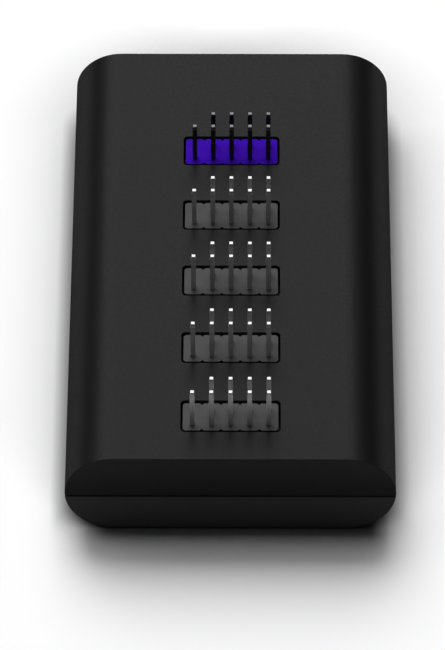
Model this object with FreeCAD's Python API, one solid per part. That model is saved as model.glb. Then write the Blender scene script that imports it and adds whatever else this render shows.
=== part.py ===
import FreeCAD, Part
import math
import os

# Internal USB hub: a two-piece moulded housing around a circuit board with five pin headers.
# Frame: millimetres, +Z up, origin at the centre of the flat underside. +Y runs along the hub to the
# end with the power inlet, and +X is to the right when looking along +Y.

V = FreeCAD.Vector
UP = V(0, 0, 1)

# Pin headers on the 2.54 mm grid, two rows of five with one key position left empty
PIN_PITCH = 2.54
COLUMNS = 5
ROWS = 2
KEY_COLUMN = 0  # empty position, counted from the left and from the near row
KEY_ROW = 1
PIN_WIDTH = 0.64
PIN_RISE = 6.0  # above the header's block
PIN_DROP = 3.0  # below the header's block
PIN_TIP_WIDTH = 0.46
PIN_TIP_LENGTH = 0.6
BLOCK_HEIGHT = 2.54
BLOCK_NOTCH = 0.3  # corner chamfer of each cell, which leaves a V notch at every break line

# Header layout along the hub
PORT_COUNT = 4
HEADER_PITCH = 13.0
NEAR_MARGIN = 8.1  # near end face to the nearest header's centre
FAR_MARGIN = 20.3  # far end face to the upstream header's centre
HEADER_RECESS = 0.14  # block's top below the cover's top

# Housing
WIDTH = 44.0
WALL = 1.6
SEAT_HEIGHT = 0.2  # flat field that stands proud of the underside
SEAT_SIDE_INSET = 1.0  # from the start of the sides' rounding
SEAT_END_INSET = 3.0
UNDER_BOARD = 7.12  # free height between the floor and the board
LOWER_HEIGHT = 6.08  # housing's underside to the parting plane
PARTING_GAP = 0.36
END_CHAMFER = 0.1
WINDOW_END_CLEARANCE = 0.32  # beyond each end of a header's block
WINDOW_SIDE_CLEARANCE = 0.42  # along each side of it
WINDOW_RADIUS = 0.6
LIP_THICKNESS = 0.7
LIP_HEIGHT = 1.0
LIP_CLEARANCE = 0.1
LUGS_PER_SIDE = 3
LUG_SPACING = 24.0
LUG_LENGTH = 8.0
LUG_DEPTH = 0.25
LUG_HEIGHT = 0.5
RIB_THICKNESS = 1.0
RIB_LENGTH = 22.0
RIB_CLEARANCE = 0.35  # rib's edge above the board

# Circuit board, its bosses, rests and screws
BOARD_THICKNESS = 1.6
BOARD_SIDE_CLEARANCE = 0.6
BOARD_END_CLEARANCE = 0.9
BOARD_CORNER_RADIUS = 1.5
PIN_HOLE_CLEARANCE = 0.13
BOSS_RADIUS = 2.5
BOSS_INSET = 3.5  # boss axis from the board's side edge
GUSSET_THICKNESS = 1.0
GUSSET_HEIGHT = 2.0
REST_THICKNESS = 1.2
REST_LENGTH = 3.0
REST_INSET = 1.6  # rest's centre from the board's side edge
REST_END_INSET = 2.5  # rest's centre from the end wall
SCREW_RADIUS = 0.95
SCREW_LENGTH = 6.0
SCREW_HEAD_RADIUS = 1.9
SCREW_HEAD_HEIGHT = 1.2
SCREW_BORE_CLEARANCE = 0.05
SCREW_BOARD_CLEARANCE = 0.25
SCREW_END_CLEARANCE = 0.5
SCREW_HEAD_CLEARANCE = 0.3

# Bar magnets in framed pockets on the floor, about the middle header
MAGNET_SPACING = 26.0
MAGNET_LENGTH = 14.0  # across the hub
MAGNET_WIDTH = 6.0
MAGNET_THICKNESS = 2.5
POCKET_SKIN = 0.8  # magnet above the housing's underside
POCKET_CLEARANCE = 0.1
POCKET_WALL = 1.0
POCKET_RISE = 1.2  # frame above the floor

# Power inlet in the far end wall: a keyed tongue with fifteen contacts
INLET_WIDTH = 25.4
INLET_HEIGHT = 5.4
INLET_DEPTH = 9.0
INLET_SETBACK = 0.4  # mouth behind the end face
INLET_REAR = 3.2
INLET_GUIDE = 1.3
INLET_CLEARANCE = 0.15
TONGUE_WIDTH = 21.0
TONGUE_THICKNESS = 1.23
TONGUE_LENGTH = 5.0
TONGUE_DROP = 1.6  # board's underside to the tongue
KEY_WIDTH = 1.1
KEY_DROP = 1.5
CONTACT_COUNT = 15
CONTACT_PITCH = 1.27
CONTACT_WIDTH = 0.8
CONTACT_THICKNESS = 0.25
CONTACT_TIP_INSET = 0.6
CONTACT_LEG = 0.4  # leg behind the inlet
CONTACT_FOOT = 1.0

# Electronics under the board: sizes along X, along Y and down from the board
CONTROLLER_EDGE_INSET = 4.8  # centre from the board's side edge
CONTROLLER_BODY = (5.3, 10.2, 1.75)
CONTROLLER_LEADS_PER_SIDE = 14
CONTROLLER_LEAD_PITCH = 0.65
CONTROLLER_LEAD_WIDTH = 0.3
REGULATOR_EDGE_INSET = 5.6
REGULATOR_BODY = (3.5, 6.5, 1.6)
REGULATOR_LEAD_COUNT = 3
REGULATOR_LEAD_PITCH = 2.3
REGULATOR_LEAD_WIDTH = 0.7
REGULATOR_TAB_WIDTH = 3.0
SURGE_OFFSET = 3.0  # left of the headers' centre line
SURGE_BODY = (1.6, 2.9, 1.1)
LEAD_THICKNESS = 0.15
LEAD_REACH = 0.45  # body's side to the leg
LEAD_FOOT = 0.6
PACKAGE_STANDOFF = 0.1
PACKAGE_CHAMFER = 0.15
CRYSTAL_EDGE_INSET = 5.4
CRYSTAL_CAN = (3.8, 10.2, 3.0)
CRYSTAL_END_FLAT = 0.2  # half of the flat left at each rounded end
CAPACITOR_EDGE_INSET = 6.0
CAPACITOR_RADIUS = 3.15
CAPACITOR_HEIGHT = 5.4
CAPACITOR_BASE_WIDTH = 6.6
CAPACITOR_BASE_HEIGHT = 1.0
CAPACITOR_BASE_CHAMFER = 1.2
FUSE_BOSS_CLEARANCE = 1.1
FUSE_BODY = (4.6, 3.2, 1.2)
CERAMIC_OFFSET = 3.0  # right of the headers' centre line
CERAMIC_BODY = (2.0, 1.25, 0.9)
CERAMIC_SPACING = 3.6
RESISTOR_EDGE_INSET = 1.4
RESISTOR_BODY = (1.6, 0.8, 0.5)
RESISTOR_SPACING = 2.4
TERMINAL_SHARE = 0.22  # of a chip component's length
TERMINAL_STEP = 0.04

# Worked out from the sizes above
LENGTH = NEAR_MARGIN + PORT_COUNT * HEADER_PITCH + FAR_MARGIN
HEIGHT = SEAT_HEIGHT + WALL + UNDER_BOARD + BOARD_THICKNESS + BLOCK_HEIGHT + HEADER_RECESS
PARTING_HEIGHT = SEAT_HEIGHT + LOWER_HEIGHT
SIDE_RADIUS = (HEIGHT - SEAT_HEIGHT) / 2  # both long sides are half rounds
SIDE_CENTRE = SEAT_HEIGHT + SIDE_RADIUS
FLOOR = SEAT_HEIGHT + WALL
FLOOR_MIDDLE = SEAT_HEIGHT + WALL / 2
MAGNET_BOTTOM = SEAT_HEIGHT + POCKET_SKIN
NEAR_END = -LENGTH / 2
FAR_END = LENGTH / 2
BLOCK_LENGTH = COLUMNS * PIN_PITCH
BLOCK_WIDTH = ROWS * PIN_PITCH
BLOCK_TOP = HEIGHT - HEADER_RECESS
BOARD_TOP = BLOCK_TOP - BLOCK_HEIGHT
BOARD_BOTTOM = BOARD_TOP - BOARD_THICKNESS
HEADER_Y = [NEAR_END + NEAR_MARGIN + i * HEADER_PITCH for i in range(PORT_COUNT + 1)]
PORT_Y = HEADER_Y[:PORT_COUNT]
LIP_FACE = WALL - LIP_THICKNESS  # lip's outer face from the housing's outside
LAND = LIP_FACE - LIP_CLEARANCE  # rim left outside the lip's rebate
LIP_TOP = PARTING_HEIGHT + PARTING_GAP / 2 + LIP_HEIGHT
LUG_CENTRE = LIP_TOP - LIP_HEIGHT / 2
INLET_MOUTH = FAR_END - INLET_SETBACK
INLET_BACK = INLET_MOUTH - INLET_DEPTH
INLET_BOTTOM = BOARD_BOTTOM - INLET_HEIGHT
TONGUE_TOP = BOARD_BOTTOM - TONGUE_DROP
TONGUE_BOTTOM = TONGUE_TOP - TONGUE_THICKNESS


def cavity_half_width(z):
    """Half of the housing's inner width at a height."""
    return WIDTH / 2 - SIDE_RADIUS + math.sqrt((SIDE_RADIUS - WALL) ** 2 - (z - SIDE_CENTRE) ** 2)


BOARD_WIDTH = 2 * (cavity_half_width(BOARD_TOP) - BOARD_SIDE_CLEARANCE)
BOARD_LENGTH = LENGTH - 2 * (WALL + BOARD_END_CLEARANCE)
BOSS_X = BOARD_WIDTH / 2 - BOSS_INSET
BOSS_Y = (HEADER_Y[0] + HEADER_PITCH / 2, HEADER_Y[-1] + HEADER_PITCH / 2)
MAGNET_Y = [HEADER_Y[PORT_COUNT // 2] + end * MAGNET_SPACING / 2 for end in (-1, 1)]
BOSS_PLACES = [(side * BOSS_X, y) for side in (-1, 1) for y in BOSS_Y]
BETWEEN_Y = [y + HEADER_PITCH / 2 for y in PORT_Y]  # middles between neighbouring headers
REGULATOR_PLACE = (REGULATOR_EDGE_INSET - BOARD_WIDTH / 2, BETWEEN_Y[1])
CRYSTAL_PLACE = (CRYSTAL_EDGE_INSET - BOARD_WIDTH / 2, BETWEEN_Y[2])
CONTROLLER_PLACE = (CONTROLLER_EDGE_INSET - BOARD_WIDTH / 2, BETWEEN_Y[3])
SURGE_PLACES = [(-SURGE_OFFSET, y) for y in BETWEEN_Y]
CAPACITOR_X = BOARD_WIDTH / 2 - CAPACITOR_EDGE_INSET
FUSE_X = BOSS_X - BOSS_RADIUS - FUSE_BOSS_CLEARANCE - FUSE_BODY[0] / 2
RESISTOR_X = BOARD_WIDTH / 2 - RESISTOR_EDGE_INSET
REST_X = BOARD_WIDTH / 2 - REST_INSET
REST_Y = LENGTH / 2 - WALL - REST_END_INSET


# Shared shapes


def box(x_range, y_range, z_range):
    """Box between two values on each axis."""
    (x0, x1), (y0, y1), (z0, z1) = x_range, y_range, z_range
    return Part.makeBox(x1 - x0, y1 - y0, z1 - z0, V(x0, y0, z0))


def centred_box(width, length, z_low, z_high, x=0.0, y=0.0):
    """Box centred on a point in plan."""
    return box((x - width / 2, x + width / 2), (y - length / 2, y + length / 2), (z_low, z_high))


def cylinder(radius, z_low, z_high, x=0.0, y=0.0):
    """Upright cylinder."""
    return Part.makeCylinder(radius, z_high - z_low, V(x, y, z_low))


def rounded_box(width, length, radius, z_low, z_high, x=0.0, y=0.0):
    """Centred box with its four upright edges rounded."""
    block = centred_box(width, length, z_low, z_high, x, y)
    upright = [e for e in block.Edges if abs(e.tangentAt(e.FirstParameter).z) > 0.5]
    return block.makeFillet(radius, upright)


def polygon_prism(points, direction):
    """Prism from a closed outline of points, extruded along a vector."""
    return Part.Face(Part.makePolygon(points + points[:1])).extrude(direction)


def square_wire(side, z, x, y):
    """Square outline at a height."""
    turns = ((-1, -1), (1, -1), (1, 1), (-1, 1))
    corners = [V(x + i * side / 2, y + j * side / 2, z) for i, j in turns]
    return Part.makePolygon(corners + corners[:1])


def edges_where(shape, test):
    """Edges whose bounding box passes a test."""
    return [e for e in shape.Edges if test(e.BoundBox)]


def fused(shapes):
    """One solid from overlapping or touching shapes."""
    return shapes[0].multiFuse(shapes[1:]).removeSplitter()


# Housing


def housing_prism(inset):
    """The housing's section with half-round sides, moved in all round and carried along Y."""
    radius = SIDE_RADIUS - inset
    straight = WIDTH / 2 - SIDE_RADIUS
    y = NEAR_END + inset

    def half_round(side):
        """Ends and edge of one long side's arc, from the underside to the top."""
        centre = V(side * straight, y, SIDE_CENTRE)
        low, high = centre - UP * radius, centre + UP * radius
        return low, high, Part.Arc(low, centre + V(side * radius, 0, 0), high).toShape()

    left_low, left_high, left = half_round(-1)
    right_low, right_high, right = half_round(1)
    underside = Part.makeLine(left_low, right_low)
    top = Part.makeLine(right_high, left_high)
    section = Part.Face(Part.Wire([underside, right, top, left]))
    return section.extrude(V(0, LENGTH - 2 * inset, 0))


def housing_outside():
    """Solid outer form, with the rims of both end faces softened."""
    body = housing_prism(0.0)
    rims = edges_where(body, lambda b: b.YLength < END_CHAMFER)
    return body.makeChamfer(END_CHAMFER, rims)


def slab(z_low, z_high, inset=0.0):
    """Box over the housing's plan, moved in by a distance at its sides and ends."""
    return centred_box(WIDTH - 2 * inset, LENGTH - 2 * inset, z_low, z_high)


def lug_prisms(clearance):
    """Wedges along both long sides of the lip, or the pockets of the top cover that take them."""
    face_x = WIDTH / 2 - LIP_FACE
    depth = LUG_DEPTH + clearance
    height = LUG_HEIGHT + 2 * clearance
    length = LUG_LENGTH + 2 * clearance
    first = -LUG_SPACING * (LUGS_PER_SIDE - 1) / 2
    prisms = []
    for side in (-1, 1):
        for i in range(LUGS_PER_SIDE):
            y = first + i * LUG_SPACING - length / 2
            wedge = [
                V(side * (face_x - LIP_THICKNESS / 2), y, LUG_CENTRE - height),
                V(side * face_x, y, LUG_CENTRE - height / 2),
                V(side * (face_x + depth), y, LUG_CENTRE),
                V(side * face_x, y, LUG_CENTRE + height / 2),
                V(side * (face_x - LIP_THICKNESS / 2), y, LUG_CENTRE + height),
            ]
            prisms.append(polygon_prism(wedge, V(0, length, 0)))
    return prisms


def inlet_cut():
    """Room for the power inlet, open through the far end wall."""
    half = INLET_WIDTH / 2 + INLET_CLEARANCE
    return box(
        (-half, half),
        (INLET_BACK - INLET_CLEARANCE, FAR_END + WALL),
        (INLET_BOTTOM - INLET_CLEARANCE, BOARD_BOTTOM + INLET_CLEARANCE),
    )


def window_cuts():
    """Five openings in the top, each around one header's block."""
    length = BLOCK_LENGTH + 2 * WINDOW_END_CLEARANCE
    width = BLOCK_WIDTH + 2 * WINDOW_SIDE_CLEARANCE
    return [
        rounded_box(length, width, WINDOW_RADIUS, HEIGHT - 2 * WALL, HEIGHT + WALL, 0, y) for y in HEADER_Y
    ]


def top_cover():
    """Upper shell with the header windows, inner ribs, lip rebate and screw head reliefs."""
    shell = housing_outside().common(slab(PARTING_HEIGHT + PARTING_GAP / 2, HEIGHT))
    shell = shell.cut(housing_prism(WALL))
    rib_low = BOARD_TOP + RIB_CLEARANCE
    ribs = [
        centred_box(RIB_LENGTH, RIB_THICKNESS, rib_low, HEIGHT - WALL / 2, 0, y + HEADER_PITCH / 2)
        for y in HEADER_Y
    ]
    shell = fused([shell] + ribs)
    rebate = slab(PARTING_HEIGHT, LIP_TOP, LAND)
    pockets = lug_prisms(LIP_CLEARANCE)
    relief_top = BOARD_TOP + SCREW_HEAD_HEIGHT + SCREW_HEAD_CLEARANCE
    relief_radius = SCREW_HEAD_RADIUS + SCREW_HEAD_CLEARANCE
    reliefs = [cylinder(relief_radius, BOARD_TOP, relief_top, x, y) for x, y in BOSS_PLACES]
    return shell.cut(Part.makeCompound([rebate, inlet_cut()] + pockets + reliefs + window_cuts()))


def screw_boss(x, y):
    """Boss from the floor to the board, with a gusset to the side wall."""
    post = cylinder(BOSS_RADIUS, FLOOR_MIDDLE, BOARD_BOTTOM, x, y)
    wall_x = math.copysign(WIDTH / 2 - WALL / 2, x)
    gusset_top = PARTING_HEIGHT - PARTING_GAP / 2
    gusset = box(
        (min(x, wall_x), max(x, wall_x)),
        (y - GUSSET_THICKNESS / 2, y + GUSSET_THICKNESS / 2),
        (gusset_top - GUSSET_HEIGHT, gusset_top),
    )
    return [post, gusset]


def screw_bore(x, y):
    """Blind bore for one screw."""
    bottom = BOARD_TOP - SCREW_LENGTH - SCREW_END_CLEARANCE
    return cylinder(SCREW_RADIUS + SCREW_BORE_CLEARANCE, bottom, BOARD_TOP, x, y)


def bottom_cover():
    """Lower shell with its flat seat, the lip, board bosses and rests, and magnet pockets."""
    outside = housing_outside()
    shell = outside.common(slab(0, PARTING_HEIGHT - PARTING_GAP / 2)).cut(housing_prism(WALL))
    lip = slab(PARTING_HEIGHT - PARTING_GAP, LIP_TOP, LIP_FACE).cut(slab(0, HEIGHT, WALL))
    pocket = (MAGNET_LENGTH + 2 * POCKET_CLEARANCE, MAGNET_WIDTH + 2 * POCKET_CLEARANCE)
    frame = [size + 2 * POCKET_WALL for size in pocket]
    seat_width = WIDTH - 2 * (SIDE_RADIUS + SEAT_SIDE_INSET)
    seat = centred_box(seat_width, LENGTH - 2 * SEAT_END_INSET, 0, FLOOR_MIDDLE)
    solids = [shell, seat, lip] + lug_prisms(0.0)
    for x, y in BOSS_PLACES:
        solids += screw_boss(x, y)
    for side in (-1, 1):
        for end in (-1, 1):
            place = (side * REST_X, end * REST_Y)
            solids.append(centred_box(REST_THICKNESS, REST_LENGTH, FLOOR_MIDDLE, BOARD_BOTTOM, *place))
    for y in MAGNET_Y:
        solids.append(centred_box(*frame, FLOOR_MIDDLE, FLOOR + POCKET_RISE, 0, y))
    shell = fused(solids)
    cuts = [screw_bore(x, y) for x, y in BOSS_PLACES]
    cuts += [centred_box(*pocket, MAGNET_BOTTOM, HEIGHT, 0, y) for y in MAGNET_Y]
    return shell.cut(Part.makeCompound(cuts + [inlet_cut()]))


# Headers


def pin_places(y):
    """Plan positions of a header's pins, without the key position."""
    places = []
    for row in range(ROWS):
        for column in range(COLUMNS):
            if (column, row) != (KEY_COLUMN, KEY_ROW):
                x = (column - (COLUMNS - 1) / 2) * PIN_PITCH
                places.append((x, y + (row - (ROWS - 1) / 2) * PIN_PITCH))
    return places


def header_pins(y):
    """Square pins, each tapered to a flat tip and cut square below the board."""
    top = BLOCK_TOP + PIN_RISE
    stations = [(PIN_WIDTH, BOARD_TOP - PIN_DROP), (PIN_WIDTH, top - PIN_TIP_LENGTH), (PIN_TIP_WIDTH, top)]
    pins = [
        Part.makeLoft([square_wire(side, z, x, py) for side, z in stations], True, True)
        for x, py in pin_places(y)
    ]
    return Part.makeCompound(pins)


def header_block(y):
    """Moulded block of chamfered cells, with a square hole for each pin."""
    half = BLOCK_WIDTH / 2
    side = []
    for column in range(COLUMNS):
        x0 = column * PIN_PITCH - BLOCK_LENGTH / 2
        x1 = x0 + PIN_PITCH
        side += [(x0, half - BLOCK_NOTCH), (x0 + BLOCK_NOTCH, half), (x1 - BLOCK_NOTCH, half)]
    side.append((BLOCK_LENGTH / 2, half - BLOCK_NOTCH))
    near = [V(x, y - depth, BOARD_TOP) for x, depth in side]
    far = [V(x, y + depth, BOARD_TOP) for x, depth in reversed(side)]
    block = polygon_prism(near + far, UP * BLOCK_HEIGHT)
    holes = [centred_box(PIN_WIDTH, PIN_WIDTH, BOARD_TOP, BLOCK_TOP, x, py) for x, py in pin_places(y)]
    return block.cut(Part.makeCompound(holes))


# Board, screws and magnets


def circuit_board():
    """Board with its screw holes and a hole for every header pin."""
    board = rounded_box(BOARD_WIDTH, BOARD_LENGTH, BOARD_CORNER_RADIUS, BOARD_BOTTOM, BOARD_TOP)
    screw_hole = SCREW_RADIUS + SCREW_BOARD_CLEARANCE
    holes = [cylinder(screw_hole, BOARD_BOTTOM, BOARD_TOP, x, y) for x, y in BOSS_PLACES]
    pin_hole = PIN_WIDTH + 2 * PIN_HOLE_CLEARANCE
    for header_y in HEADER_Y:
        for place in pin_places(header_y):
            holes.append(centred_box(pin_hole, pin_hole, BOARD_BOTTOM, BOARD_TOP, *place))
    return board.cut(Part.makeCompound(holes))


def board_screw(x, y):
    """Cheese-head screw from the board's top into a boss, turned from its half profile."""
    profile = [
        (0, -SCREW_LENGTH),
        (SCREW_RADIUS, -SCREW_LENGTH),
        (SCREW_RADIUS, 0),
        (SCREW_HEAD_RADIUS, 0),
        (SCREW_HEAD_RADIUS, SCREW_HEAD_HEIGHT),
        (0, SCREW_HEAD_HEIGHT),
    ]
    points = [V(x + r, y, BOARD_TOP + z) for r, z in profile]
    return Part.Face(Part.makePolygon(points + points[:1])).revolve(V(x, y, 0), UP, 360)


def magnet(y):
    """Bar magnet, seated on the skin of its pocket."""
    return centred_box(MAGNET_LENGTH, MAGNET_WIDTH, MAGNET_BOTTOM, MAGNET_BOTTOM + MAGNET_THICKNESS, 0, y)


# Power inlet


def bent_lead(start, leg, foot, run, width, thickness):
    """Lead under the board in its own frame, where Z 0 is the board's underside.

    It leaves a body along +X with its upper face at Z run, rises at leg and ends in a foot.
    """
    outline = [
        (start, run - thickness),
        (leg + thickness, run - thickness),
        (leg + thickness, -thickness),
        (leg + thickness + foot, -thickness),
        (leg + thickness + foot, 0),
        (leg, 0),
        (leg, run),
        (start, run),
    ]
    return polygon_prism([V(x, -width / 2, z) for x, z in outline], V(0, width, 0))


def set_lead(lead, turn_deg, x, y):
    """Turns a lead about Z and puts it under the board."""
    placed = lead.copy()
    placed.rotate(V(0, 0, 0), UP, turn_deg)
    placed.translate(V(x, y, BOARD_BOTTOM))
    return placed


def inlet_contacts():
    """Fifteen strips along the tongue, through the rear block and up to the board."""
    tongue_tip = INLET_MOUTH - INLET_DEPTH + INLET_REAR + TONGUE_LENGTH
    first = -CONTACT_PITCH * (CONTACT_COUNT - 1) / 2
    strip = bent_lead(
        CONTACT_TIP_INSET - tongue_tip,
        CONTACT_LEG - INLET_BACK,
        CONTACT_FOOT,
        -TONGUE_DROP - TONGUE_THICKNESS,
        CONTACT_WIDTH,
        CONTACT_THICKNESS,
    )
    places = [first + i * CONTACT_PITCH for i in range(CONTACT_COUNT)]
    return Part.makeCompound([set_lead(strip, -90, x, 0) for x in places])


def inlet_body():
    """Rear block, side guides and keyed tongue, moulded around the contacts."""
    half = INLET_WIDTH / 2
    tongue_half = TONGUE_WIDTH / 2
    front = INLET_BACK + INLET_REAR
    tongue_y = (front - INLET_REAR / 2, front + TONGUE_LENGTH)
    heights = (INLET_BOTTOM, BOARD_BOTTOM)
    pieces = [
        box((-half, half), (INLET_BACK, front), heights),
        box((-half, INLET_GUIDE - half), (INLET_BACK, INLET_MOUTH), heights),
        box((half - INLET_GUIDE, half), (INLET_BACK, INLET_MOUTH), heights),
        box((-tongue_half, tongue_half), tongue_y, (TONGUE_BOTTOM, TONGUE_TOP)),
        box((tongue_half - KEY_WIDTH, tongue_half), tongue_y, (TONGUE_BOTTOM - KEY_DROP, TONGUE_TOP)),
    ]
    return fused(pieces).cut(inlet_contacts())


# Electronics under the board


def package_body(size, place, standoff):
    """Moulded chip body, chamfered round the face away from the board."""
    width, length, depth = size
    top = BOARD_BOTTOM - standoff
    block = centred_box(width, length, top - depth, top, *place)
    rim = edges_where(block, lambda b: b.ZMax < top - depth / 2)
    return block.makeChamfer(PACKAGE_CHAMFER, rim)


def package_leads(size, place, count, pitch, width, sides=(0, 180)):
    """Rows of bent leads on a chip body's long sides."""
    body_width, _, depth = size
    start = body_width / 2
    run = -PACKAGE_STANDOFF - (depth - LEAD_THICKNESS) / 2
    lead = bent_lead(start, start + LEAD_REACH, LEAD_FOOT, run, width, LEAD_THICKNESS)
    first = -pitch * (count - 1) / 2
    x, y = place
    return [set_lead(lead, turn, x, y + first + i * pitch) for turn in sides for i in range(count)]


def controller_leads():
    """Leads of the hub controller."""
    leads = package_leads(
        CONTROLLER_BODY,
        CONTROLLER_PLACE,
        CONTROLLER_LEADS_PER_SIDE,
        CONTROLLER_LEAD_PITCH,
        CONTROLLER_LEAD_WIDTH,
    )
    return Part.makeCompound(leads)


def regulator_leads():
    """Leads on one side of the regulator and its wide tab on the other."""
    chip = (REGULATOR_BODY, REGULATOR_PLACE)
    leads = package_leads(*chip, REGULATOR_LEAD_COUNT, REGULATOR_LEAD_PITCH, REGULATOR_LEAD_WIDTH, (0,))
    tab = package_leads(*chip, 1, REGULATOR_LEAD_PITCH, REGULATOR_TAB_WIDTH, (180,))
    return Part.makeCompound(leads + tab)


def surge_arrays():
    """One leadless surge protection array for each port, flat on the board."""
    return Part.makeCompound([package_body(SURGE_BODY, place, 0.0) for place in SURGE_PLACES])


def clock_crystal():
    """Long round-ended can, flat on the board."""
    width, length, depth = CRYSTAL_CAN
    radius = width / 2 - CRYSTAL_END_FLAT
    return rounded_box(width, length, radius, BOARD_BOTTOM - depth, BOARD_BOTTOM, *CRYSTAL_PLACE)


def capacitor_base(y):
    """Square base with two chamfered corners that mark its polarity."""
    low = BOARD_BOTTOM - CAPACITOR_BASE_HEIGHT
    base = centred_box(CAPACITOR_BASE_WIDTH, CAPACITOR_BASE_WIDTH, low, BOARD_BOTTOM, CAPACITOR_X, y)
    corners = edges_where(base, lambda b: b.ZLength > CAPACITOR_BASE_HEIGHT / 2 and b.YMin > y)
    return base.makeChamfer(CAPACITOR_BASE_CHAMFER, corners)


def capacitor_can(y):
    """Round can under its base."""
    low = BOARD_BOTTOM - CAPACITOR_HEIGHT
    return cylinder(CAPACITOR_RADIUS, low, BOARD_BOTTOM - CAPACITOR_BASE_HEIGHT, CAPACITOR_X, y)


def chip_component(size, x, y):
    """Two-terminal block with slightly larger metal ends."""
    length, width, depth = size
    terminal = length * TERMINAL_SHARE
    low = BOARD_BOTTOM - depth
    core = centred_box(length - terminal, width - 2 * TERMINAL_STEP, low + TERMINAL_STEP,
                       BOARD_BOTTOM - TERMINAL_STEP, x, y)
    reach = (length - terminal) / 2
    ends = [centred_box(terminal, width, low, BOARD_BOTTOM, x + side * reach, y) for side in (-1, 1)]
    return fused([core] + ends)


def chip_column(size, x, ys):
    """Column of equal two-terminal components."""
    return Part.makeCompound([chip_component(size, x, y) for y in ys])


def paired(ys, spacing):
    """Two positions about each given one."""
    return [y + side * spacing / 2 for y in ys for side in (-1, 1)]


def port_name(i):
    """Ports count from the upstream header towards the near end."""
    return f"port_{PORT_COUNT - i}"


def build_nodes():
    """Every sub-part by its node name."""
    nodes = {
        "top_cover": top_cover(),
        "bottom_cover": bottom_cover(),
        "circuit_board": circuit_board(),
        "board_screws": Part.makeCompound([board_screw(x, y) for x, y in BOSS_PLACES]),
        "magnet_near": magnet(MAGNET_Y[0]),
        "magnet_far": magnet(MAGNET_Y[1]),
        "upstream_header_block": header_block(HEADER_Y[-1]),
        "upstream_header_pins": header_pins(HEADER_Y[-1]),
        "power_inlet_body": inlet_body(),
        "power_inlet_contacts": inlet_contacts(),
        "hub_controller_body": package_body(CONTROLLER_BODY, CONTROLLER_PLACE, PACKAGE_STANDOFF),
        "hub_controller_leads": controller_leads(),
        "voltage_regulator_body": package_body(REGULATOR_BODY, REGULATOR_PLACE, PACKAGE_STANDOFF),
        "voltage_regulator_leads": regulator_leads(),
        "surge_arrays": surge_arrays(),
        "clock_crystal": clock_crystal(),
        "bulk_capacitor_bases": Part.makeCompound([capacitor_base(y) for y in PORT_Y]),
        "bulk_capacitor_cans": Part.makeCompound([capacitor_can(y) for y in PORT_Y]),
        "port_fuses": chip_column(FUSE_BODY, FUSE_X, BETWEEN_Y),
        "ceramic_capacitors": chip_column(CERAMIC_BODY, CERAMIC_OFFSET, paired(BETWEEN_Y, CERAMIC_SPACING)),
        "resistors": chip_column(RESISTOR_BODY, RESISTOR_X, paired(PORT_Y, RESISTOR_SPACING)),
    }
    for i, y in enumerate(PORT_Y):
        nodes[f"{port_name(i)}_header_block"] = header_block(y)
        nodes[f"{port_name(i)}_header_pins"] = header_pins(y)
    return nodes


def main():
    os.makedirs("parts", exist_ok=True)
    for name, shape in build_nodes().items():
        shape.exportStep(f"parts/{name}.step")
        print(f"{name}: {len(shape.Solids)} solids, valid {shape.isValid()}, {shape.Volume:.2f} mm3")


main()
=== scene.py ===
"""Looks of the internal USB hub: materials of the CAD nodes, studio light and the photograph's camera."""

import math

import bpy
from mathutils import Matrix, Vector


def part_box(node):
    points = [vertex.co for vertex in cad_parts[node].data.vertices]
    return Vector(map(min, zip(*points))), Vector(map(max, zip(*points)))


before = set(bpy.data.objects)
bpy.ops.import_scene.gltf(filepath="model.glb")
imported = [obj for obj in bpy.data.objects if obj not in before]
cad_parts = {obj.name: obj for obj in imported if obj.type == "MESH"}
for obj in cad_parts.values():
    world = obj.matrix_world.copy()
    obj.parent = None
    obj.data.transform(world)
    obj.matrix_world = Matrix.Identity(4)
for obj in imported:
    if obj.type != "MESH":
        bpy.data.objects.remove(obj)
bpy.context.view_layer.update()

MM = 0.001
BLACK = (0.0, 0.0, 0.0)
WHITE = (1.0, 1.0, 1.0)

# Camera, solved from the pin tips: angles in degrees, lengths in mm, focal length in pixels of the image
AIM_NODE = "port_2_header_pins"
AIM_RIGHT = 1.1637
AIM_UP = 10.2367
ELEVATION = 44.287
YAW = -0.248
ROLL = 0.043
DISTANCE = 833.85
FOCAL_PIXELS = 6165.9
IMAGE_HEIGHT = 650
SENSOR = 36.0
CLIP_END = 20000.0

# Soft boxes: places and sizes in mm, power in watts
KEY_PLACE = (-700.0, 3650.0, 3750.0)
KEY_SIZE = (3700.0, 4000.0)
KEY_WATTS = 204.0
WIDE_PLACE = (-3600.0, 2850.0, 4575.0)
WIDE_SIZE = (13000.0, 5750.0)
WIDE_WATTS = 300.0

# World: its dim level, and the directions along Y between which gloss comes to see white
WORLD_GREY = 0.012
PALE_FROM = 0.35
PALE_TO = -0.15

# Floor: what it gives back to the hub and what is seen of it
FLOOR_SIZE = 4000.0
FLOOR_RETURN = (0.85, 0.85, 0.85)
FLOOR_SEEN = (1.19, 1.19, 1.19)
FLOOR_ROUGHNESS = 0.9

# Contact shade of the floor: where it looks for the hub, how far in mm, and the open shares at its ends
SIDE_SHADE = {"direction": (0.1, -0.7, 0.7), "reach": 4.5, "black": 0.5, "white": 1.0}
BACK_SHADE = {"direction": (0.0, -1.0, 0.15), "reach": 24.0, "black": 0.3, "white": 0.92}
SHADE_SAMPLES = 48

# Noise: its octaves in soft patches and in fine grain, and the range that most of its values lie in
PATCH_DETAIL = 3.0
FINE_DETAIL = 2.0
NOISE_LOW = 0.3
NOISE_HIGH = 0.7

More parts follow.
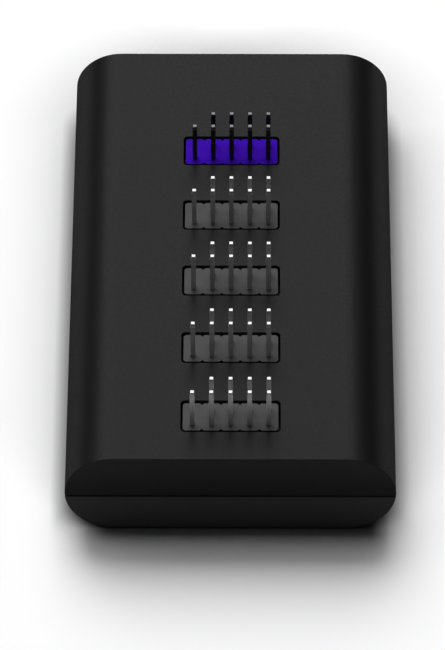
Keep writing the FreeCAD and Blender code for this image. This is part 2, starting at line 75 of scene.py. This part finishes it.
# Surface detail: cells in a metre, depths in mm, and how far colour and roughness vary
MOTTLE_CELLS = 700.0
MOTTLE = 0.1
GLOSS_CELLS = 2500.0
GLOSS_SPREAD = 0.06
GRAIN_CELLS = 9000.0
GRAIN_DEPTH = 0.006
GRAIN_STRENGTH = 0.35
TARNISH_CELLS = 1500.0
TARNISH = 0.85
LINES_ACROSS = 9000.0
LINES_ALONG = 500.0
LINES_DEPTH = 0.003
LINES_STRENGTH = 0.2
LINES_SMOOTHER = 0.08
LINES_ROUGHER = 0.1

# Housing: how far an end wall faces along Y to get its painted light, and the depths in mm between which
# the sides get dull
END_WALL = 0.7
SHINY_DEPTH = 1.0
DULL_DEPTH = 7.0
HOUSING_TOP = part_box("top_cover")[1][2]
SHINY_ABOVE = HOUSING_TOP - SHINY_DEPTH * MM
DULL_BELOW = HOUSING_TOP - DULL_DEPTH * MM
DULLING = 0.8

# Pins, all of one height: the depths in mm of the cut face at the top and of the taper below it, and the
# painted shade that darkens that taper
CUT_DEPTH = 0.05
TAPER_DEPTH = 1.0
PIN_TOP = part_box("upstream_header_pins")[1][2]
CUT_ABOVE = PIN_TOP - CUT_DEPTH * MM
TAPER_ABOVE = PIN_TOP - TAPER_DEPTH * MM
TAPER_PAINTED_SHADE = 0.2
CUT_ROUGHNESS = 0.6

# Circuit board: solder mask over copper tracks
MASK = (0.002, 0.009, 0.005)
MASK_OVER_COPPER = (0.004, 0.02, 0.01)
MASK_SPECULAR = 0.1
MASK_ROUGHNESS = (0.45, 0.6)
MASK_STRENGTH = 0.3
TRACK_CELLS = 160.0
TRACK_GAP = 0.04
TRACK_DEPTH = 0.02

# Two-terminal chips: the share of half the length that the fired core takes, and the tinned ends
CORE_SHARE = 0.56
CHIP_TIN = (0.6, 0.6, 0.58)
CHIP_ROUGHNESS = (0.3, 0.45)

# Numbers of the ports, each with a header of its own
PORTS = (1, 2, 3, 4)


def scaled(numbers, factor):
    """Each number of a colour, a size or a place times a factor."""
    return tuple(number * factor for number in numbers)


class Nodes:
    """Short helpers that add nodes to a tree."""

    def __init__(self, tree):
        self.tree = tree

    def node(self, kind, **settings):
        """New node with some of its properties set."""
        made = self.tree.nodes.new(kind)
        for key, value in settings.items():
            setattr(made, key, value)
        return made

    def feed(self, socket, value):
        """Number or colour on a socket, or a link to it from another one."""
        if isinstance(value, bpy.types.NodeSocket):
            self.tree.links.new(value, socket)
        elif socket.type == "RGBA":
            socket.default_value = (*value, 1.0)
        else:
            socket.default_value = value

    def feed_all(self, sockets, **values):
        """Several sockets by name, with _ for a space."""
        for key, value in values.items():
            self.feed(sockets[key.replace("_", " ")], value)

    def maths(self, operation, *values):
        """Result of an operation on numbers or sockets."""
        made = self.node("ShaderNodeMath", operation=operation)
        for socket, value in zip(made.inputs, values):
            self.feed(socket, value)
        return made.outputs["Value"]

    def spread(self, source, low, high, start=NOISE_LOW, end=NOISE_HIGH, curve="LINEAR"):
        """Value carried from the range start to end into low to high, and held at its ends."""
        made = self.node("ShaderNodeMapRange", interpolation_type=curve)
        self.feed_all(made.inputs, Value=source, From_Min=start, From_Max=end, To_Min=low, To_Max=high)
        return made.outputs["Result"]

    def blend(self, factor, first, second):
        """Colour between two others."""
        made = self.node("ShaderNodeMix", data_type="RGBA")
        sockets = {socket.identifier: socket for socket in (*made.inputs, *made.outputs)}
        for key, value in (("Factor_Float", factor), ("A_Color", first), ("B_Color", second)):
            self.feed(sockets[key], value)
        return sockets["Result_Color"]

    def along(self, axis, vector):
        """One of the three numbers of a vector."""
        made = self.node("ShaderNodeSeparateXYZ")
        self.feed(made.inputs["Vector"], vector)
        return made.outputs[axis]

    def rays(self):
        """Whether a ray comes from the camera, and whether from gloss or glass."""
        path = self.node("ShaderNodeLightPath").outputs
        mirrored = self.maths("MAXIMUM", path["Is Glossy Ray"], path["Is Transmission Ray"])
        return path["Is Camera Ray"], mirrored


class Shader(Nodes):
    """Material with a Principled shader and textures in object coordinates."""

    def __init__(self, name, **values):
        self.material = bpy.data.materials.new(name)
        self.material.use_nodes = True
        super().__init__(self.material.node_tree)
        self.sockets = self.tree.nodes["Principled BSDF"].inputs
        coordinates = self.node("ShaderNodeTexCoord").outputs
        self.place, self.normal = coordinates["Object"], coordinates["Normal"]
        self.set(**values)

    def set(self, **values):
        """Numbers, colours or links on the shader's own sockets."""
        self.feed_all(self.sockets, **values)

    def noise(self, cells, detail=PATCH_DETAIL, vector=None):
        """Noise with about that many cells in a metre."""
        made = self.node("ShaderNodeTexNoise")
        self.feed_all(made.inputs, Scale=cells, Detail=detail, Vector=vector or self.place)
        return made.outputs["Fac"]

    def drawn_lines(self, axis):
        """Fine lines along one axis."""
        made = self.node("ShaderNodeMapping")
        cells = [LINES_ALONG if name == axis else LINES_ACROSS for name in "XYZ"]
        self.feed_all(made.inputs, Vector=self.place, Scale=cells)
        return self.noise(1.0, FINE_DETAIL, made.outputs["Vector"])

    def mottled(self, cells, colour, darker, lighter):
        """Colour in soft patches."""
        return self.blend(self.noise(cells), scaled(colour, darker), scaled(colour, lighter))

    def open_share(self, direction, reach):
        """How open the surroundings are round a direction, within a reach in mm."""
        lean = self.node("ShaderNodeCombineXYZ")
        self.feed_all(lean.inputs, **dict(zip("XYZ", direction)))
        made = self.node("ShaderNodeAmbientOcclusion", samples=SHADE_SAMPLES)
        self.feed_all(made.inputs, Distance=reach * MM, Normal=lean.outputs["Vector"])
        return made.outputs["AO"]

    def bump(self, height, strength, depth):
        """Relief from a height, with its depth in mm."""
        made = self.node("ShaderNodeBump")
        self.feed_all(made.inputs, Height=height, Strength=strength, Distance=depth * MM)
        self.set(Normal=made.outputs["Normal"])


def moulded_shader(name, colour, rough, specular):
    """Moulded plastic with faint mottling and spark-eroded grain, its colour and its uneven roughness."""
    shader = Shader(name, Specular_IOR_Level=specular)
    shader.bump(shader.noise(GRAIN_CELLS, FINE_DETAIL), GRAIN_STRENGTH, GRAIN_DEPTH)
    base = shader.mottled(MOTTLE_CELLS, colour, 1 - MOTTLE, 1 + MOTTLE)
    uneven = shader.spread(shader.noise(GLOSS_CELLS), rough - GLOSS_SPREAD, rough + GLOSS_SPREAD)
    return shader, base, uneven


def moulded(name, colour, rough, specular):
    """Plain moulded plastic."""
    shader, base, uneven = moulded_shader(name, colour, rough, specular)
    shader.set(Base_Color=base, Roughness=uneven)
    return shader.material


def housing(name, colour, rough, specular, end_painted_light_colour):
    """Housing plastic: end walls painted paler with painted light, and sides that get dull towards the
    parting.
    """
    shader, base, uneven = moulded_shader(name, colour, rough, specular)
    facing = shader.maths("ABSOLUTE", shader.along("Y", shader.normal))
    # Painted light: the end walls get a paler colour that stands in for light falling on them.
    painted_lit_ends = shader.mottled(MOTTLE_CELLS, end_painted_light_colour, 1 - MOTTLE, 1 + MOTTLE)
    dulled = shader.spread(shader.along("Z", shader.place), DULLING, 0.0, DULL_BELOW, SHINY_ABOVE)
    shader.set(
        Base_Color=shader.blend(shader.maths("GREATER_THAN", facing, END_WALL), base, painted_lit_ends),
        Roughness=shader.maths("ADD", uneven, dulled),
    )
    return shader.material


def drawn_metal(name, colour, rough, axis, metallic):
    """Metal with drawing lines along one axis and a faint tarnish, its colour and its uneven roughness."""
    shader = Shader(name, Metallic=metallic)
    lines = shader.drawn_lines(axis)
    shader.bump(lines, LINES_STRENGTH, LINES_DEPTH)
    base = shader.mottled(TARNISH_CELLS, colour, TARNISH, 1.0)
    uneven = shader.spread(lines, rough - LINES_SMOOTHER, rough + LINES_ROUGHER)
    return shader, base, uneven


def plated(name, colour, rough, axis="Z"):
    """Plated metal."""
    shader, base, uneven = drawn_metal(name, colour, rough, axis, 1.0)
    shader.set(Base_Color=base, Roughness=uneven)
    return shader.material


def pins(name, coat, rough, metallic, cut_end):
    """Plated square pins with rough cut ends, and a painted shade that darkens the taper below the cut
    tip.
    """
    shader, base, uneven = drawn_metal(name, coat, rough, "Z", metallic)
    height = shader.along("Z", shader.place)
    cut = shader.maths("GREATER_THAN", height, CUT_ABOVE)
    # Painted shade: the taper below the cut tip gets a darker colour than the shaft.
    taper_shade = shader.spread(height, 0.0, 1.0, TAPER_ABOVE, CUT_ABOVE)
    shaded_coat = shader.blend(taper_shade, base, scaled(coat, TAPER_PAINTED_SHADE))
    shader.set(
        Base_Color=shader.blend(cut, shaded_coat, cut_end),
        Roughness=shader.maths("MAXIMUM", uneven, shader.maths("MULTIPLY", cut, CUT_ROUGHNESS)),
    )
    return shader.material


def solder_mask(name):
    """Dark green mask over copper tracks."""
    shader = Shader(name, Specular_IOR_Level=MASK_SPECULAR)
    made = shader.node("ShaderNodeTexBrick")
    shader.feed_all(made.inputs, Vector=shader.place, Scale=TRACK_CELLS, Mortar_Size=TRACK_GAP)
    tracks = made.outputs["Fac"]
    shader.bump(tracks, MASK_STRENGTH, TRACK_DEPTH)
    shader.set(
        Base_Color=shader.blend(tracks, MASK, MASK_OVER_COPPER),
        Roughness=shader.spread(shader.noise(GLOSS_CELLS), *MASK_ROUGHNESS),
    )
    return shader.material


def chips(node, name, colour):
    """Fired chips between tinned ends, told apart by their place across the hub in a node's column."""
    low, high = (corner[0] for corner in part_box(node))
    shader = Shader(name)
    offset = shader.maths("SUBTRACT", shader.along("X", shader.place), (low + high) / 2)
    end = shader.maths("GREATER_THAN", shader.maths("ABSOLUTE", offset), CORE_SHARE * (high - low) / 2)
    core = shader.mottled(GLOSS_CELLS, colour, 1 - MOTTLE, 1 + MOTTLE)
    shader.bump(shader.noise(GRAIN_CELLS), GRAIN_STRENGTH, GRAIN_DEPTH)
    shader.set(
        Base_Color=shader.blend(end, core, CHIP_TIN),
        Metallic=end,
        Roughness=shader.spread(shader.noise(GLOSS_CELLS), *CHIP_ROUGHNESS),
    )
    return shader.material


def node_materials():
    """Material of each CAD node."""
    grey = moulded("header_grey", (0.086, 0.086, 0.087), rough=0.6, specular=0.01)
    bright = pins("pin_plated", (0.5, 0.5, 0.5), rough=0.45, metallic=0.65, cut_end=(0.6, 0.6, 0.6))
    epoxy = moulded("chip_black", (0.014, 0.014, 0.016), rough=0.55, specular=0.3)
    tin = plated("lead_tin", (0.6, 0.6, 0.6), rough=0.3)
    nickel = plated("magnet_nickel", (0.62, 0.61, 0.58), rough=0.2, axis="X")
    # The housing's end colours below are painted light, paler than the rest of it.
    materials = {
        "top_cover": housing("housing_upper", (0.0072, 0.0072, 0.0074), rough=0.36, specular=0.042,
                             end_painted_light_colour=(0.021, 0.021, 0.0212)),
        "bottom_cover": housing("housing_lower", (0.012, 0.012, 0.0122), rough=0.5, specular=0.3,
                                end_painted_light_colour=(0.028, 0.028, 0.0282)),
        "circuit_board": solder_mask("board_green"),
        "board_screws": plated("screw_steel", (0.5, 0.5, 0.5), rough=0.3),
        "magnet_near": nickel,
        "magnet_far": nickel,
        "upstream_header_block": moulded("header_violet", (0.048, 0.0068, 0.41), rough=0.6, specular=0.0),
        "upstream_header_pins": pins("pin_dark", (0.2, 0.2, 0.21), rough=0.2, metallic=1.0,
                                     cut_end=(0.14, 0.14, 0.14)),
        "power_inlet_body": moulded("inlet_black", (0.016, 0.016, 0.016), rough=0.5, specular=0.25),
        "power_inlet_contacts": plated("contact_gold", (0.8, 0.58, 0.24), rough=0.22, axis="Y"),
        "hub_controller_body": epoxy,
        "hub_controller_leads": tin,
        "voltage_regulator_body": epoxy,
        "voltage_regulator_leads": tin,
        "surge_arrays": epoxy,
        "clock_crystal": plated("crystal_can", (0.62, 0.62, 0.6), rough=0.28, axis="Y"),
        "bulk_capacitor_bases": epoxy,
        "bulk_capacitor_cans": plated("capacitor_can", (0.72, 0.72, 0.72), rough=0.3),
        "port_fuses": chips("port_fuses", "fuse_green", (0.05, 0.16, 0.07)),
        "ceramic_capacitors": chips("ceramic_capacitors", "ceramic_tan", (0.42, 0.3, 0.18)),
        "resistors": chips("resistors", "resistor_black", (0.03, 0.03, 0.03)),
    }
    for port in PORTS:
        materials[f"port_{port}_header_block"] = grey
        materials[f"port_{port}_header_pins"] = bright
    return materials


def add_object(name, data):
    """New object in the scene."""
    made = bpy.data.objects.new(name, data)
    bpy.context.collection.objects.link(made)
    return made


def add_camera():
    """Camera of the photograph, with the top of the aimed pins to the right of its middle and above it."""
    low, high = (Vector(corner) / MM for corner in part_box(AIM_NODE))
    aim = Vector(((low.x + high.x) / 2, (low.y + high.y) / 2, high.z))
    yaw, tilt, roll = (math.radians(angle) for angle in (YAW, ELEVATION, ROLL))
    level = Vector((math.cos(yaw), -math.sin(yaw), 0.0))
    ahead = Vector((math.sin(yaw) * math.cos(tilt), math.cos(yaw) * math.cos(tilt), -math.sin(tilt)))
    upright = level.cross(ahead)
    right = level * math.cos(roll) - upright * math.sin(roll)
    up = level * math.sin(roll) + upright * math.cos(roll)
    place = aim - right * AIM_RIGHT - up * AIM_UP - ahead * DISTANCE
    data = bpy.data.cameras.new("photo_camera")
    data.sensor_width = SENSOR
    data.lens = FOCAL_PIXELS * SENSOR / IMAGE_HEIGHT
    data.clip_end = CLIP_END * MM
    camera = add_object("photo_camera", data)
    turn = Matrix((right, up, -ahead)).transposed().to_4x4()
    camera.matrix_world = Matrix.Translation(place * MM) @ turn
    bpy.context.scene.camera = camera


def add_soft_box(name, place, size, watts):
    """Rectangular area lamp, tilted down towards the hub and level across it."""
    data = bpy.data.lights.new(name, "AREA")
    data.shape = "RECTANGLE"
    data.size, data.size_y = scaled(size, MM)
    data.energy = watts
    lamp = add_object(name, data)
    lamp.location = scaled(place, MM)
    lamp.rotation_euler = Vector((0.0, -place[1], -place[2])).to_track_quat("-Z", "Y").to_euler()


def floor_material():
    """White floor with a soft contact shade beside and behind the hub."""
    shader = Shader("floor_white", Roughness=FLOOR_ROUGHNESS, Specular_IOR_Level=0.0)
    seen = FLOOR_SEEN
    for shade in (SIDE_SHADE, BACK_SHADE):
        share = shader.open_share(shade["direction"], shade["reach"])
        clear = shader.spread(share, 0.0, 1.0, shade["black"], shade["white"])
        seen = shader.blend(clear, BLACK, seen)
    shader.set(Base_Color=shader.blend(shader.maths("MAXIMUM", *shader.rays()), FLOOR_RETURN, seen))
    return shader.material


def add_floor():
    """Plain floor under the hub."""
    half = FLOOR_SIZE * MM / 2
    corners = [(x * half, y * half, 0.0) for x, y in ((-1, -1), (1, -1), (1, 1), (-1, 1))]
    mesh = bpy.data.meshes.new("floor")
    mesh.from_pydata(corners, [], [(0, 1, 2, 3)])
    mesh.materials.append(floor_material())
    add_object("floor", mesh)


def set_world():
    """Dim surroundings, white to the camera, and to gloss on the side away from the soft boxes."""
    world = bpy.data.worlds.new("studio")
    world.use_nodes = True
    nodes = Nodes(world.node_tree)
    direction = nodes.node("ShaderNodeTexCoord").outputs["Generated"]
    pale = nodes.spread(nodes.along("Y", direction), 0.0, 1.0, PALE_FROM, PALE_TO, "SMOOTHSTEP")
    camera_ray, mirrored = nodes.rays()
    seen = nodes.maths("MAXIMUM", camera_ray, nodes.maths("MULTIPLY", mirrored, pale))
    sockets = world.node_tree.nodes["Background"].inputs
    nodes.feed_all(sockets, Color=WHITE, Strength=nodes.maths("MAXIMUM", seen, WORLD_GREY))
    bpy.context.scene.world = world


for name, material in node_materials().items():
    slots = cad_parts[name].data.materials
    slots.clear()
    slots.append(material)

add_camera()
add_soft_box("key_light", KEY_PLACE, KEY_SIZE, KEY_WATTS)
add_soft_box("wide_light", WIDE_PLACE, WIDE_SIZE, WIDE_WATTS)
add_floor()
set_world()
bpy.context.scene.view_settings.view_transform = "Standard"
